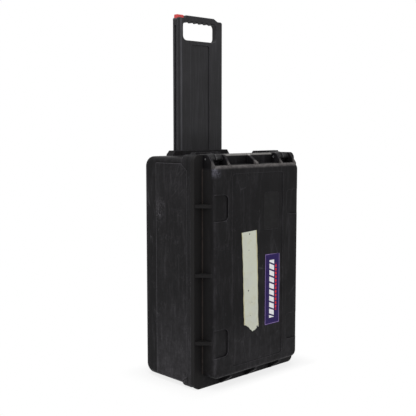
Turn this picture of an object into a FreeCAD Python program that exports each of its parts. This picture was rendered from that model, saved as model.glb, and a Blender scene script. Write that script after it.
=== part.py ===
import FreeCAD, Part
import math
import os
import Sketcher
from FreeCAD import Placement, Rotation, Vector

# A wheeled hard transport case standing on its wheel end, with its pull handle drawn out.
# X runs across the case, Y from the lid (minus) to the back (plus), Z up from the floor.
doc = FreeCAD.newDocument("transport_case")
sheet = doc.addObject("Spreadsheet::Sheet", "Sizes")

VALUES = [
    # the shells
    ("case_height", 559.0, "rim to rim, along the case"),
    ("case_width", 355.0, "rim to rim, across the case"),
    ("lid_rise", 39.0, "lid front ahead of its own flange"),
    ("lid_flange", 12.0, "depth of the lid's flange"),
    ("body_depth", 188.0, "flange front to the back wall"),
    ("wheel_proud", 2.0, "wheels and back cover beyond the back wall"),
    ("rim_corner", 16.0, "corner radius of both flanges"),
    ("base_flange", 12.0, "depth of the base's flange"),
    ("corner_block", 43.0, "flange front to the end of the corner blocks"),
    ("block_reach", 34.0, "how far a corner block runs along the rim"),
    ("side_step", 3.0, "body wall behind the rim at the sides"),
    ("top_step", 7.0, "body wall below the rim at the handle end"),
    ("foot_step", 4.5, "body wall above the rim at the wheel end"),
    ("back_round", 25.0, "corner seen from the side, at the back"),
    ("wall_round", 14.0, "edge between the side walls and the back"),
    ("wall", 4.0, "shell thickness"),
    ("seam_gap", 0.3, "gap between the shells and at faces that part"),
    ("mouth_margin", 18.0, "rim solid round the mouth at both ends"),
    ("mouth_depth", 34.0, "how deep the narrower mouth runs"),
    ("mouth_corner", 14.0, "corner radius of the mouth"),
    # raised panels on the sides
    ("panel_front", 25.0, "flange front to the raised side panel"),
    ("panel_back", 139.0, "flange front to the panel's back edge"),
    ("panel_low", 12.5, "lower edge of the side panel"),
    ("panel_high", 538.0, "upper edge of the side panel"),
    ("panel_cut_y", 21.0, "corner cut of the panel, along the depth"),
    ("panel_cut_z", 15.0, "corner cut of the panel, along the height"),
    ("panel_rise", 2.4, "panel ahead of the body wall"),
    # lid front
    ("lid_side", 26.0, "lid pan in from the flange edge, at the sides"),
    ("lid_top", 24.0, "lid pan below the flange edge"),
    ("lid_foot", 26.0, "lid pan above the flange edge"),
    ("lid_corner", 18.0, "corner radius of the lid pan"),
    ("lid_edge", 8.0, "rounding of the lid's front edge"),
    ("lid_draft", 3.0, "draft of the lid's walls in degrees"),
    ("field_half", 90.0, "half the sunk centre field of the lid"),
    ("field_sink", 1.2, "how far the centre field is sunk"),
    ("field_end", 14.0, "centre field in from the pan's ends"),
    ("notch_in", 104.0, "inner edge of the stacking recesses"),
    ("notch_low", 79.0, "lower recess, lower edge"),
    ("notch_low_top", 146.0, "lower recess, upper edge"),
    ("notch_high", 404.0, "upper recess, lower edge"),
    ("notch_high_top", 466.0, "upper recess, upper edge"),
    ("notch_deep", 3.5, "depth of the stacking recesses"),
    ("notch_corner", 12.0, "corner radius of the recesses"),
    ("badge_x", 49.0, "centre of the badge recess"),
    ("badge_z", 417.0, "height of the badge recess"),
    ("badge_wide", 50.0, "badge recess width"),
    ("badge_high", 92.0, "badge recess height"),
    ("badge_deep", 1.2, "badge recess depth"),
    # gussets between the flange and the lid pan
    ("fin_thick", 8.0, "thickness of a gusset"),
    ("fin_reach", 34.0, "gusset height along the pan wall"),
    ("fin_low_z", 115.0, "lowest side gusset"),
    ("fin_mid_z", 277.0, "middle side gusset"),
    ("fin_high_z", 440.0, "highest side gusset"),
    ("fin_x", 88.0, "outer gussets of the wheel end"),
    # latches
    ("latch_in", 96.0, "inner face of the latch bay"),
    ("latch_out", 141.0, "outer face of the latch bay"),
    ("ear_thick", 6.0, "ear thickness"),
    ("ear_reach", 33.0, "ears ahead of the flange"),
    ("latch_pin_y", 5.5, "latch pin ahead of the flange"),
    ("latch_pin_z", 10.0, "latch pin below the rim"),
    ("latch_pin_radius", 2.5, "latch pin"),
    ("barrel_radius", 6.2, "latch barrel"),
    ("latch_top", 0.8, "latch plate above the rim"),
    ("latch_plate", 6.0, "latch plate thickness"),
    ("latch_slack", 0.5, "latch to ear, each side"),
    ("bay_floor", 17.5, "latch bay floor below the rim"),
    ("tooth_deep", 3.0, "latch nose below its plate"),
    ("tooth_wide", 6.0, "latch nose along the depth"),
    ("keeper_wide", 6.0, "keeper ridge along the depth"),
    ("keep_gap", 0.35, "latch nose above the keeper ridge"),
    ("keeper_bay", 16.0, "depth of the bay behind the seam"),
    ("keeper_rise", 4.5, "keeper block above the rim"),
    ("keeper_in", 62.0, "inner end of the keeper block"),
    ("keeper_out", 150.0, "outer end of the keeper block"),
    ("button_wide", 16.0, "latch button width"),
    ("button_long", 11.0, "latch button along the depth"),
    ("button_proud", 1.2, "latch button above the latch"),
    ("button_sink", 4.2, "pocket of the latch button"),
    ("button_throw", 2.0, "travel of the latch button"),
    ("button_slack", 0.2, "round a button in its pocket"),
    # lid hinge at the wheel end
    ("hinge_z", 6.3, "hinge line above the floor"),
    ("knuckle_radius", 5.7, "hinge knuckles"),
    ("knuckle_slack", 0.5, "round a knuckle in the other shell"),
    ("knuckle_long", 20.0, "length of one knuckle"),
    ("hinge_x", 105.0, "middle of each hinge"),
    ("hinge_pin_radius", 2.0, "hinge pin"),
    ("pin_slack", 0.04, "running fit of a pin in its hole"),
    ("relief_slope", 1.5, "run over rise of the relief below the hinge line"),
    # seal
    ("seal_edge", 3.5, "seal in from the rim at the sides"),
    ("seal_end", 14.5, "seal in from the rim at the wheel end"),
    ("seal_top", 19.0, "seal in from the rim at the handle end"),
    ("seal_wide", 3.0, "seal width"),
    ("seal_deep", 3.0, "seal height"),
    ("seal_corner", 10.0, "seal corner radius"),
    # pull handle
    ("grip_half", 78.0, "half the width of the pull handle"),
    ("grip_thick", 17.5, "pull handle thickness"),
    ("grip_top", 904.5, "top of the drawn-out handle"),
    ("grip_shoulder", 897.5, "its shoulders"),
    ("grip_foot", 504.0, "its lower end"),
    ("grip_stop", 12.0, "height of the stop wings"),
    ("wing_reach", 4.4, "stop wings beyond the handle's edge"),
    ("crown_half", 48.0, "half the raised crown of the grip"),
    ("crown_foot", 62.0, "where the crown meets the shoulder"),
    ("hole_half", 58.0, "half the width of the hand hole"),
    ("hole_low", 843.0, "lower edge of the hand hole"),
    ("hole_high", 890.0, "upper edge of the hand hole"),
    ("hole_corner", 12.0, "corner radius of the hand hole"),
    ("ridge_radius", 7.0, "finger ridges"),
    ("ridge_drop", 2.6, "ridges below the hole's edge"),
    ("ridge_pitch", 17.5, "spacing of the finger ridges"),
    ("ridge_count", 6.0, "number of finger ridges"),
    ("groove_deep", 3.0, "side groove depth"),
    ("groove_wide", 5.5, "side groove width"),
    ("blade_half", 33.0, "half the width of the sunk blade"),
    ("blade_top", 834.0, "top of the sunk blade"),
    ("blade_sink", 2.6, "depth of the sunk blade"),
    ("slide_slack", 0.4, "pull handle in its channel"),
    ("channel_half", 83.0, "half the channel"),
    ("channel_low", 158.0, "lower end of the channel"),
    ("cover_thick", 3.4, "back cover thickness"),
    ("cover_half", 100.0, "half the width of the back cover"),
    ("cover_low", 128.0, "lower edge of the back cover"),
    ("cover_corner", 10.0, "corner radius of the back cover"),
    ("cover_rib", 1.6, "sunk bands of the back cover"),
    ("handle_travel", 335.0, "how far the handle slides in"),
    # collar
    ("collar_half", 102.0, "half the width of the collar"),
    ("collar_top", 564.0, "top of the collar"),
    ("collar_low", 518.0, "bottom of the collar"),
    ("collar_front", 7.0, "collar ahead of the handle"),
    ("collar_slope", 9.0, "sloping ends of the collar"),
    # release button and lock
    ("release_in", 55.0, "inner end of the release button"),
    ("release_out", 76.5, "outer end of the release button"),
    ("release_top", 905.3, "top of the release button"),
    ("release_low", 895.0, "foot of the release button"),
    ("release_floor", 891.7, "floor of its pocket"),
    ("release_throw", 3.0, "travel of the release button"),
    ("release_wide", 11.5, "release button along the depth"),
    ("rod_x", 66.0, "lock rod from the middle"),
    ("rod_wide", 5.0, "lock rod width"),
    ("rod_thick", 3.2, "lock rod thickness"),
    ("rod_low", 543.0, "lower end of the lock rod"),
    ("bolt_low", 526.0, "lower edge of the lock bolt"),
    ("bolt_high", 536.0, "upper edge of the lock bolt"),
    ("bolt_long", 20.0, "lock bolt length"),
    ("bolt_throw", 3.0, "travel of the lock bolt"),
    ("lock_inset", 3.0, "middle of the lock from the handle's front face"),
    # wheels
    ("wheel_radius", 24.0, "wheel"),
    ("wheel_wide", 22.0, "tyre width"),
    ("wheel_x", 131.0, "wheel from the middle"),
    ("wheel_slack", 1.0, "wheel to its well, each side"),
    ("well_round", 4.0, "well beyond the tyre"),
    ("tyre_thick", 6.0, "tyre thickness"),
    ("hub_bore", 3.04, "hub bore"),
    ("axle_radius", 3.0, "axle"),
    ("axle_seat", 4.0, "axle into each wall of the well"),
    ("well_wall", 5.0, "wall of the wheel well"),
    # side handle on the right
    ("side_z", 277.0, "middle of the side handle"),
    ("side_long", 134.0, "side handle length"),
    ("side_arm", 12.0, "width of its arms and bar"),
    ("side_thick", 6.5, "its thickness"),
    ("side_y", 92.0, "its pivot behind the flange front"),
    ("side_reach", 40.0, "pivot to the outer edge of the bar"),
    ("side_x", 6.5, "its pivot in from the rim"),
    ("side_pin_radius", 2.2, "its pivot pins"),
    ("side_pin_seat", 5.0, "pins into the wall"),
    ("side_gap", 3.0, "recess round the side handle"),
    ("side_floor", 13.0, "recess floor in from the rim"),
    ("side_grip_long", 84.0, "length of the soft grip"),
    ("side_grip_pad", 1.8, "thickness of the soft grip"),
    # fasteners
    ("screw_head", 3.6, "screw head radius"),
    ("screw_shank", 1.7, "screw shank radius"),
    ("screw_long", 7.0, "screw length under the head"),
    ("screw_rise", 1.4, "screw head height"),
    ("screw_in", 6.5, "screws in from the cover's edges"),
]


class Size:
    """A length that carries its formula for the sheet together with its value."""

    def __init__(self, text, value):
        self.text = text
        self.value = float(value)

    def join(self, other, sign, value, turned=False):
        other = size(other)
        left, right = (other, self) if turned else (self, other)
        return Size("(" + left.text + " " + sign + " " + right.text + ")", value)

    def __add__(self, other):
        return self.join(other, "+", self.value + size(other).value)

    def __radd__(self, other):
        return self.join(other, "+", self.value + size(other).value, True)

    def __sub__(self, other):
        return self.join(other, "-", self.value - size(other).value)

    def __rsub__(self, other):
        return self.join(other, "-", size(other).value - self.value, True)

    def __mul__(self, other):
        return self.join(other, "*", self.value * size(other).value)

    def __rmul__(self, other):
        return self.join(other, "*", self.value * size(other).value, True)

    def __truediv__(self, other):
        return self.join(other, "/", self.value / size(other).value)

    def __neg__(self):
        return size(0) - self


def size(number):
    return number if isinstance(number, Size) else Size("%.6g" % number, number)


class Named:
    pass


v = Named()
for row, (alias, number, note) in enumerate(VALUES, 1):
    sheet.set("A%d" % row, alias)
    sheet.set("B%d" % row, str(number))
    sheet.setAlias("B%d" % row, alias)
    sheet.set("C%d" % row, note)
    setattr(v, alias, Size("Sizes." + alias, number))
doc.recompute()

# Faces and lines that several pieces share.
half_width = v.case_width / 2
lid_face = -(v.lid_rise + v.body_depth + v.wheel_proud) / 2
border = lid_face + v.lid_rise
seam = border + v.lid_flange
back = border + v.body_depth
rear = back + v.wheel_proud
body_half = half_width - v.side_step
body_top = v.case_height - v.top_step
cover_seat = rear - v.cover_thick
grip_back = cover_seat - v.slide_slack
grip_front = grip_back - v.grip_thick
channel_floor = grip_front - v.slide_slack
inner_wall = channel_floor - v.wall
inner_half = body_half - v.wall
pan_half = half_width - v.lid_side
pan_top = v.case_height - v.lid_top
latch_y = border - v.latch_pin_y
latch_z = v.case_height - v.latch_pin_z
latch_high = v.case_height + v.latch_top
latch_under = latch_high - v.latch_plate
keeper_top = latch_under - v.tooth_deep - v.keep_gap
bay_low = v.case_height - v.bay_floor
wheel_y = rear - v.wheel_radius
well_half = v.wheel_wide / 2 + v.wheel_slack
lock_y = grip_front + v.lock_inset

PLANES = {"XY": ("XY_Plane", 1), "XZ": ("XZ_Plane", -1), "YZ": ("YZ_Plane", 1)}
nodes = []


def make_body(name):
    body = doc.addObject("PartDesign::Body", name + "_body")
    body.Label = name
    nodes.append(body)
    return body


def bind(target, path, amount):
    target.setExpression(path, size(amount).text)


def fix(sketch, kind, *where):
    amount = size(where[-1])
    index = sketch.addConstraint(Sketcher.Constraint(kind, *where[:-1], amount.value))
    if amount.text.find("Sizes") >= 0:
        bind(sketch, "Constraints[%d]" % index, amount)


def place(sketch, geo, point, u, w):
    fix(sketch, "DistanceX", -1, 1, geo, point, u)
    fix(sketch, "DistanceY", -1, 1, geo, point, w)


def polygon(*points):
    """An outline through points, each held by its own two distances."""
    def draw(sketch):
        pts = [(size(u), size(w)) for u, w in points]
        first = sketch.GeometryCount
        count = len(pts)
        for i in range(count):
            a = pts[i]
            b = pts[(i + 1) % count]
            sketch.addGeometry(Part.LineSegment(Vector(a[0].value, a[1].value, 0),
                                                Vector(b[0].value, b[1].value, 0)))
        for i in range(count):
            after = first + (i + 1) % count
            sketch.addConstraint(Sketcher.Constraint("Coincident", first + i, 2, after, 1))
        for i in range(count):
            place(sketch, first + i, 1, *pts[i])
    return draw


def rounded(u0, u1, w0, w1, radius):
    """A rectangle with four equal round corners."""
    u0, u1, w0, w1, radius = [size(item) for item in (u0, u1, w0, w1, radius)]

    def draw(sketch):
        r = radius.value
        a, b, c, d = u0.value, u1.value, w0.value, w1.value
        first = sketch.GeometryCount
        corners = [((a + r, c), (b - r, c), (b - r, c + r), -0.5), ((b, c + r), (b, d - r), (b - r, d - r), 0),
                   ((b - r, d), (a + r, d), (a + r, d - r), 0.5), ((a, d - r), (a, c + r), (a + r, c + r), 1)]
        for start, end, centre, turn in corners:
            sketch.addGeometry(Part.LineSegment(Vector(*start, 0), Vector(*end, 0)))
            circle = Part.Circle(Vector(*centre, 0), Vector(0, 0, 1), r)
            sketch.addGeometry(Part.ArcOfCircle(circle, turn * math.pi, (turn + 0.5) * math.pi))
        for i in range(8):
            sketch.addConstraint(Sketcher.Constraint("Tangent", first + i, 2, first + (i + 1) % 8, 1))
        sketch.addConstraint(Sketcher.Constraint("Horizontal", first))
        sketch.addConstraint(Sketcher.Constraint("Horizontal", first + 4))
        sketch.addConstraint(Sketcher.Constraint("Vertical", first + 2))
        sketch.addConstraint(Sketcher.Constraint("Vertical", first + 6))
        for i in (3, 5, 7):
            sketch.addConstraint(Sketcher.Constraint("Equal", first + 1, first + i))
        fix(sketch, "Radius", first + 1, radius)
        fix(sketch, "DistanceX", -1, 1, first + 6, 1, u0)
        fix(sketch, "DistanceX", -1, 1, first + 2, 1, u1)
        fix(sketch, "DistanceY", -1, 1, first, 1, w0)
        fix(sketch, "DistanceY", -1, 1, first + 4, 1, w1)
    return draw


def disc(u, w, radius):
    def draw(sketch):
        u_, w_, r_ = size(u), size(w), size(radius)
        geo = sketch.addGeometry(Part.Circle(Vector(u_.value, w_.value, 0), Vector(0, 0, 1), r_.value))
        place(sketch, geo, 3, u_, w_)
        fix(sketch, "Radius", geo, r_)
    return draw


def block(u0, u1, w0, w1):
    return polygon((u0, w0), (u1, w0), (u1, w1), (u0, w1))


def sketch_on(body, name, plane, level, *outlines):
    role, sign = PLANES[plane]
    sketch = body.newObject("Sketcher::SketchObject", name + "_sketch")
    origin = [item for item in body.Origin.OriginFeatures if item.Role == role][0]
    sketch.AttachmentSupport = [(origin, "")]
    sketch.MapMode = "FlatFace"
    bind(sketch, "AttachmentOffset.Base.z", size(level) * sign)
    for draw in outlines:
        draw(sketch)
    return sketch


def extrude(body, name, plane, low, high, *outlines, cut=False, draft=None):
    """Adds or cuts an outline between two levels along the plane's world axis."""
    start = high if plane == "XZ" else low
    sketch = sketch_on(body, name, plane, start, *outlines)
    kind = "PartDesign::Pocket" if cut else "PartDesign::Pad"
    feature = body.newObject(kind, name)
    feature.Profile = sketch
    feature.Reversed = cut
    bind(feature, "Length", size(high) - size(low))
    if draft is not None:
        bind(feature, "TaperAngle", -draft)
    return feature


def cut_out(body, name, plane, low, high, *outlines):
    return extrude(body, name, plane, low, high, *outlines, cut=True)


def soften(body, kind, name, amount, choose):
    """Rounds or bevels the edges of the last shape that the test chooses."""
    doc.recompute()
    base = body.Tip
    picked = ["Edge%d" % i for i, edge in enumerate(base.Shape.Edges, 1) if choose(edge)]
    feature = body.newObject("PartDesign::" + kind, name)
    feature.Base = (base, picked)
    bind(feature, "Radius" if kind == "Fillet" else "Size", amount)
    return feature


def near(value, target, slack=0.05):
    return abs(value - size(target).value) < slack


def flat_at(edge, axis, level):
    """True for an edge that lies wholly at one level along an axis."""
    box = edge.BoundBox
    low, high = {"x": (box.XMin, box.XMax), "y": (box.YMin, box.YMax), "z": (box.ZMin, box.ZMax)}[axis]
    return near(low, level) and near(high, level)


def runs_along(edge, axis):
    box = edge.BoundBox
    spans = {"x": box.XLength, "y": box.YLength, "z": box.ZLength}
    return spans[axis] > 0.01 and all(span < 0.01 for key, span in spans.items() if key != axis)


def middle(edge):
    return edge.BoundBox.Center


def rod(name, radius, length, x, y, z, direction="X"):
    """A plain round pin that starts at a point and runs along an axis."""
    pin = doc.addObject("Part::Cylinder", name)
    bind(pin, "Radius", radius)
    bind(pin, "Height", length)
    turn = {"X": Rotation(Vector(0, 1, 0), 90), "Y": Rotation(Vector(1, 0, 0), -90), "Z": Rotation()}
    pin.Placement = Placement(Vector(0, 0, 0), turn[direction])
    bind(pin, "Placement.Base.x", x)
    bind(pin, "Placement.Base.y", y)
    bind(pin, "Placement.Base.z", z)
    return pin


# Base shell: a deep tray with rounded back corners behind a flat flange.
base = make_body("base_shell")
extrude(base, "tray", "YZ", -body_half, body_half, polygon(
    (seam, v.foot_step), (back, v.foot_step), (back, body_top), (seam, body_top)))
soften(base, "Fillet", "tray_back_corners", v.back_round,
       lambda e: runs_along(e, "x") and near(middle(e).y, back))
soften(base, "Fillet", "tray_side_edges", v.wall_round,
       lambda e: near(abs(middle(e).x), body_half) and e.BoundBox.XLength < 0.01 and middle(e).y > seam.value + 1)
extrude(base, "flange", "XZ", seam, seam + v.base_flange,
        rounded(-half_width, half_width, 0, v.case_height, v.rim_corner))
for side in (-1, 1):
    tag = "left" if side < 0 else "right"
    outer = half_width * side
    inner = outer - v.block_reach * side
    for end, low, high in (("low", size(0), v.block_reach), ("high", v.case_height - v.block_reach, v.case_height)):
        extrude(base, "corner_block_%s_%s" % (tag, end), "XZ", seam, border + v.corner_block,
                block(inner, outer, low, high))
soften(base, "Fillet", "corner_block_rounds", v.rim_corner,
       lambda e: runs_along(e, "y") and near(abs(middle(e).x), half_width)
       and (near(middle(e).z, 0) or near(middle(e).z, v.case_height)))
for side in (-1, 1):
    tag = "left" if side < 0 else "right"
    wall = (body_half - 1) * side
    face = (body_half + v.panel_rise) * side
    low, high = (face, wall) if side < 0 else (wall, face)
    y0 = border + v.panel_front
    y1 = border + v.panel_back
    extrude(base, "side_panel_" + tag, "YZ", low, high, polygon(
        (y0 + v.panel_cut_y, v.panel_low), (y1, v.panel_low), (y1, v.panel_high),
        (y0 + v.panel_cut_y, v.panel_high), (y0, v.panel_high - v.panel_cut_z), (y0, v.panel_low + v.panel_cut_z)))
soften(base, "Fillet", "side_panel_corners", v.wall,
       lambda e: runs_along(e, "x") and near(middle(e).y, border + v.panel_back))
for side in (-1, 1):
    tag = "left" if side < 0 else "right"
    low, high = sorted((v.keeper_in * side, v.keeper_out * side), key=lambda item: item.value)
    extrude(base, "keeper_block_" + tag, "XZ", seam + v.keeper_bay, border + v.corner_block,
            polygon((low, body_top - 1), (high, body_top - 1), (high, v.case_height),
                    (high - v.keeper_rise, v.case_height + v.keeper_rise),
                    (low + v.keeper_rise, v.case_height + v.keeper_rise), (low, v.case_height)))
# the hollow: a narrower mouth, then the full width, deeper on both sides of the handle channel
cut_out(base, "mouth", "XZ", seam - 1, seam + v.mouth_depth, rounded(
    -inner_half, inner_half, v.mouth_margin, v.case_height - v.mouth_margin - v.wall, v.mouth_corner))
cut_out(base, "hollow", "XZ", seam + v.mouth_depth - 1, inner_wall, rounded(
    -inner_half, inner_half, v.foot_step + v.wall, body_top - v.wall, v.mouth_corner))
for side in (-1, 1):
    tag = "left" if side < 0 else "right"
    low, high = sorted(((v.cover_half + v.wall) * side, inner_half * side), key=lambda item: item.value)
    cut_out(base, "deep_side_" + tag, "XZ", inner_wall - 1, back - v.wall, rounded(
        low, high, v.foot_step + v.back_round, body_top - v.back_round, v.mouth_corner))
# wheel wells with their own walls inside the hollow
for side in (-1, 1):
    tag = "left" if side < 0 else "right"
    low, high = sorted(((v.wheel_x - well_half - v.well_wall) * side, (v.wheel_x + well_half + v.well_wall) * side),
                       key=lambda item: item.value)
    reach = v.wheel_radius + v.well_round
    extrude(base, "well_house_" + tag, "YZ", low, high, polygon(
        (wheel_y - reach - v.well_wall, v.foot_step), (back - v.wall_round, v.foot_step),
        (back - 1, v.foot_step + v.back_round),
        (back - 1, v.wheel_radius + reach + v.well_wall), (wheel_y - v.wheel_radius, v.wheel_radius + reach + v.well_wall),
        (wheel_y - reach - v.well_wall, v.wheel_radius + v.well_wall)))
    cut_low, cut_high = sorted(((v.wheel_x - well_half) * side, (v.wheel_x + well_half) * side),
                               key=lambda item: item.value)
    cut_out(base, "well_round_" + tag, "YZ", cut_low, cut_high, disc(wheel_y, v.wheel_radius, reach))
    pin_low, pin_high = sorted(((v.wheel_x - well_half - v.axle_seat) * side,
                                (v.wheel_x + well_half + v.axle_seat) * side), key=lambda item: item.value)
    cut_out(base, "axle_seats_" + tag, "YZ", pin_low - v.seam_gap / 10, pin_high + v.seam_gap / 10,
            disc(wheel_y, v.wheel_radius, v.axle_radius + v.pin_slack / 2))
# handle channel open to the back and the top, with a rail down each side
cut_out(base, "channel", "XZ", channel_floor, back + 1,
        block(-v.channel_half, v.channel_half, v.channel_low, v.case_height + 10))
cut_out(base, "cover_seat", "XZ", cover_seat, back + 1,
        rounded(-v.cover_half, v.cover_half, v.cover_low, v.case_height + 20, v.cover_corner))
cut_out(base, "collar_seat", "XZ", grip_front - v.collar_front, back + 1,
        block(-v.collar_half, v.collar_half, v.collar_low, v.case_height + 10))
for side in (-1, 1):
    tag = "left" if side < 0 else "right"
    edge = v.grip_half - v.groove_deep + v.slide_slack
    low, high = sorted((edge * side, (v.channel_half + 1) * side), key=lambda item: item.value)
    rail_mid = grip_front + v.grip_thick / 2
    rail_half = v.groove_wide / 2 - v.slide_slack
    extrude(base, "rail_" + tag, "XZ", rail_mid - rail_half, rail_mid + rail_half,
            block(low, high, v.channel_low - 1, v.collar_low))
# latch bays behind the seam, with a keeper ridge at the front of each
for side in (-1, 1):
    tag = "left" if side < 0 else "right"
    low, high = sorted((v.latch_in * side, v.latch_out * side), key=lambda item: item.value)
    cut_out(base, "bay_" + tag, "YZ", low, high, polygon(
        (seam - 1, keeper_top), (seam + v.keeper_wide, keeper_top), (seam + v.keeper_wide, bay_low + v.wall),
        (seam + v.keeper_bay, bay_low + v.wall), (seam + v.keeper_bay, v.case_height + 10),
        (seam - 1, v.case_height + 10)))


def relief(sign):
    """The wedge that must be free below the hinge line for the lid to swing."""
    drop = v.hinge_z + 1 + v.seam_gap
    return polygon((seam - sign * 2, v.hinge_z + v.seam_gap), (seam + sign * v.seam_gap, v.hinge_z + v.seam_gap),
                   (seam + sign * (v.seam_gap + drop * v.relief_slope), v.hinge_z - v.hinge_z - 1),
                   (seam - sign * 2, v.hinge_z - v.hinge_z - 1))


def knuckles(sides, own):
    """The stretches of the hinge line that one shell owns, or the other one does."""
    for side in sides:
        mid = v.hinge_x * side
        step = v.knuckle_long
        spans = [(mid - step / 2, mid + step / 2)]
        if own == "base":
            spans = [(mid - step * 1.5, mid - step / 2), (mid + step / 2, mid + step * 1.5)]
        for low, high in spans:
            yield low, high


cut_out(base, "swing_relief", "YZ", -half_width - 1, half_width + 1, relief(1))
for index, (low, high) in enumerate(knuckles((-1, 1), "lid")):
    cut_out(base, "knuckle_room_%d" % index, "YZ", low - v.seam_gap, high + v.seam_gap,
            disc(seam, v.hinge_z, v.knuckle_radius + v.knuckle_slack))
for index, (low, high) in enumerate(knuckles((-1, 1), "base")):
    extrude(base, "knuckle_%d" % index, "YZ", low, high, disc(seam, v.hinge_z, v.knuckle_radius))
for index, side in enumerate((-1, 1)):
    mid = v.hinge_x * side
    cut_out(base, "hinge_bore_%d" % index, "YZ", mid - v.knuckle_long * 1.5, mid + v.knuckle_long * 1.5,
            disc(seam, v.hinge_z, v.hinge_pin_radius + v.pin_slack))
# recess for the folding handle on the right side
recess_low = v.side_z - v.side_long / 2 - v.side_gap
recess_high = v.side_z + v.side_long / 2 + v.side_gap
side_pivot = border + v.side_y
recess_front = side_pivot - v.side_reach - v.side_gap
recess_back = side_pivot + v.side_arm / 2 + v.side_gap
recess_floor = half_width - v.side_floor
extrude(base, "recess_house", "YZ", recess_floor - v.wall, body_half - 1, block(
    recess_front - v.wall, recess_back + v.wall, recess_low - v.side_pin_seat - v.wall,
    recess_high + v.side_pin_seat + v.wall))
cut_out(base, "recess", "YZ", recess_floor, half_width + 1,
        rounded(recess_front, recess_back, recess_low, recess_high, v.wall))
cut_out(base, "recess_pins", "XY", recess_low - v.side_pin_seat, recess_high + v.side_pin_seat,
        disc(half_width - v.side_x, side_pivot, v.side_pin_radius + v.pin_slack / 2))

# Lid shell: a drafted pan on a flange, with gussets, latch ears and hinge knuckles.
lid = make_body("lid_shell")
extrude(lid, "pan", "XZ", lid_face, border + 1, rounded(
    -pan_half, pan_half, v.lid_foot, pan_top, v.lid_corner), draft=v.lid_draft)
soften(lid, "Fillet", "pan_front_edge", v.lid_edge, lambda e: flat_at(e, "y", lid_face))
extrude(lid, "flange", "XZ", border, seam - v.seam_gap,
        rounded(-half_width, half_width, 0, v.case_height, v.rim_corner))
field_end = v.field_end + v.lid_edge
cut_out(lid, "field", "XZ", lid_face - 1, lid_face + v.field_sink, rounded(
    -v.field_half, v.field_half, v.lid_foot + field_end, pan_top - field_end, v.lid_edge))
for side in (-1, 1):
    tag = "left" if side < 0 else "right"
    low, high = sorted((v.notch_in * side, (half_width + 1) * side), key=lambda item: item.value)
    for end, z0, z1 in (("low", v.notch_low, v.notch_low_top), ("high", v.notch_high, v.notch_high_top)):
        cut_out(lid, "stack_%s_%s" % (tag, end), "XZ", lid_face - 1, lid_face + v.notch_deep,
                rounded(low, high, z0, z1, v.notch_corner))
cut_out(lid, "badge", "XZ", lid_face - 1, lid_face + v.field_sink + v.badge_deep, rounded(
    v.badge_x - v.badge_wide / 2, v.badge_x + v.badge_wide / 2,
    v.badge_z - v.badge_high / 2, v.badge_z + v.badge_high / 2, v.wall))
for side in (-1, 1):
    tag = "left" if side < 0 else "right"
    edge = (half_width - 1.0) * side
    inside = (pan_half - v.lid_side / 2) * side
    for index, z in enumerate((v.fin_low_z, v.fin_mid_z, v.fin_high_z)):
        extrude(lid, "fin_%s_%d" % (tag, index), "XY", z - v.fin_thick / 2, z + v.fin_thick / 2, polygon(
            (edge, border + 1), (edge, border - 3), (inside + side * 8, border - v.fin_reach),
            (inside, border - v.fin_reach), (inside, border + 1)))
for index, x in enumerate((-v.fin_x, size(0), v.fin_x)):
    extrude(lid, "fin_foot_%d" % index, "YZ", x - v.fin_thick / 2, x + v.fin_thick / 2, polygon(
        (border + 1, 1.0), (border - 3, 1.0), (border - v.fin_reach, v.lid_foot - 4),
        (border - v.fin_reach, v.lid_foot + 8), (border + 1, v.lid_foot + 8)))
extrude(lid, "fin_top", "YZ", -v.fin_thick / 2, v.fin_thick / 2, polygon(
    (border + 1, pan_top - 8), (border - v.fin_reach, pan_top - 8), (border - v.fin_reach, pan_top + 3),
    (border - 3, v.case_height - 1), (border + 1, v.case_height - 1)))
for side in (-1, 1):
    tag = "left" if side < 0 else "right"
    for part, x in (("in", v.latch_in - v.ear_thick), ("out", v.latch_out)):
        low, high = sorted((x * side, (x + v.ear_thick) * side), key=lambda item: item.value)
        extrude(lid, "ear_%s_%s" % (part, tag), "YZ", low, high, polygon(
            (border + 1, pan_top - 8), (border - v.ear_reach, pan_top - 8), (border - v.ear_reach, pan_top - 2),
            (border - v.latch_pin_y - 9, v.case_height), (border + 1, v.case_height)))
soften(lid, "Fillet", "ear_noses", v.barrel_radius * 2,
       lambda e: runs_along(e, "x") and near(middle(e).y, border - v.latch_pin_y - 9)
       and near(middle(e).z, v.case_height))
cut_out(lid, "lid_hollow", "XZ", lid_face + v.field_sink + v.wall, seam + 1, rounded(
    -pan_half + v.wall + 3, pan_half - v.wall - 3, v.lid_foot + v.wall + 3, pan_top - v.wall - 3, v.mouth_corner))
for side in (-1, 1):
    tag = "left" if side < 0 else "right"
    low, high = sorted((v.latch_in * side, v.latch_out * side), key=lambda item: item.value)
    cut_out(lid, "bay_" + tag, "YZ", low, high, block(latch_y - v.barrel_radius * 3, seam + 1,
                                                      bay_low, v.case_height + 10))
    low, high = sorted(((v.latch_in - v.ear_thick) * side, (v.latch_out + v.ear_thick) * side),
                       key=lambda item: item.value)
    cut_out(lid, "latch_bore_" + tag, "YZ", low, high, disc(latch_y, latch_z, v.latch_pin_radius + v.pin_slack))
cut_out(lid, "swing_relief", "YZ", -half_width - 1, half_width + 1, relief(-1))
for index, (low, high) in enumerate(knuckles((-1, 1), "base")):
    cut_out(lid, "knuckle_room_%d" % index, "YZ", low - v.seam_gap, high + v.seam_gap,
            disc(seam, v.hinge_z, v.knuckle_radius + v.knuckle_slack))
for index, (low, high) in enumerate(knuckles((-1, 1), "lid")):
    extrude(lid, "knuckle_%d" % index, "YZ", low, high, disc(seam, v.hinge_z, v.knuckle_radius))
    cut_out(lid, "hinge_bore_%d" % index, "YZ", low - 1, high + 1,
            disc(seam, v.hinge_z, v.hinge_pin_radius + v.pin_slack))
seal_out = half_width - v.seal_edge
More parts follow.
